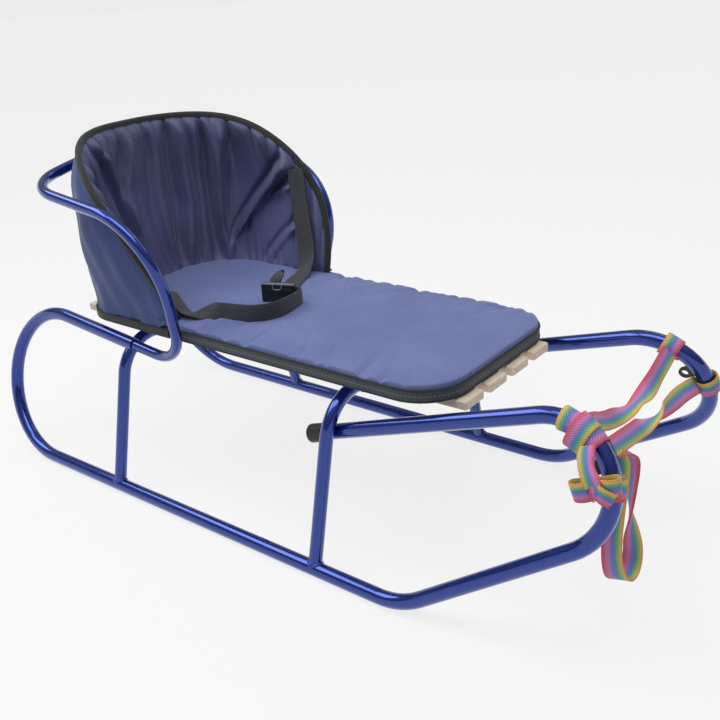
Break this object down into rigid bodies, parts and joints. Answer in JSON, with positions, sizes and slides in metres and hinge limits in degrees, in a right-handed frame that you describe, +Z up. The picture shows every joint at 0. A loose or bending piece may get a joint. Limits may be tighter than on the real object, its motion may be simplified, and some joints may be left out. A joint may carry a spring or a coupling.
{
  "type": "baby sled",
  "caption": "Tubular steel baby sled with looped runners, a wooden slat seat, a plug-in tube backrest, a bucket cushion with harness and a striped webbing pull strap.",
  "frame": {"origin": "on the ground under the middle of the frame's length and width", "axes": "+X to the front of the sled, +Y to its left side, +Z up"},
  "size_m": [0.9432, 0.386, 0.46],
  "materials": {
    "blue_steel": "glossy metallic paint",
    "pale_wood": "clear varnish",
    "black_plastic": "satin",
    "navy_cloth": "woven, coated",
    "black_webbing": "woven webbing",
    "striped_webbing": "woven webbing in five coloured stripes"
  },
  "bodies": {
    "root": {"runner_right": "blue_steel", "runner_left": "blue_steel", "arch_rear": "blue_steel", "arch_front": "blue_steel", "backrest": "blue_steel", "tow_eye_right": "blue_steel", "tow_eye_left": "blue_steel", "slat_1": "pale_wood", "slat_2": "pale_wood", "slat_3": "pale_wood", "slat_4": "pale_wood", "end_cap_right": "black_plastic", "end_cap_left": "black_plastic", "buckle": "black_plastic", "seat_pad": "navy_cloth", "seat_bucket": "navy_cloth", "harness_right": "black_webbing", "harness_left": "black_webbing", "strap_wrap_right": "striped_webbing", "strap_wrap_left": "striped_webbing", "strap_tie_right": "striped_webbing", "strap_tie_left": "striped_webbing", "strap_span_upper": "striped_webbing", "strap_span_lower": "striped_webbing", "strap_hanging_loop": "striped_webbing", "strap_bow": "striped_webbing"}
  },
  "joints": []
}
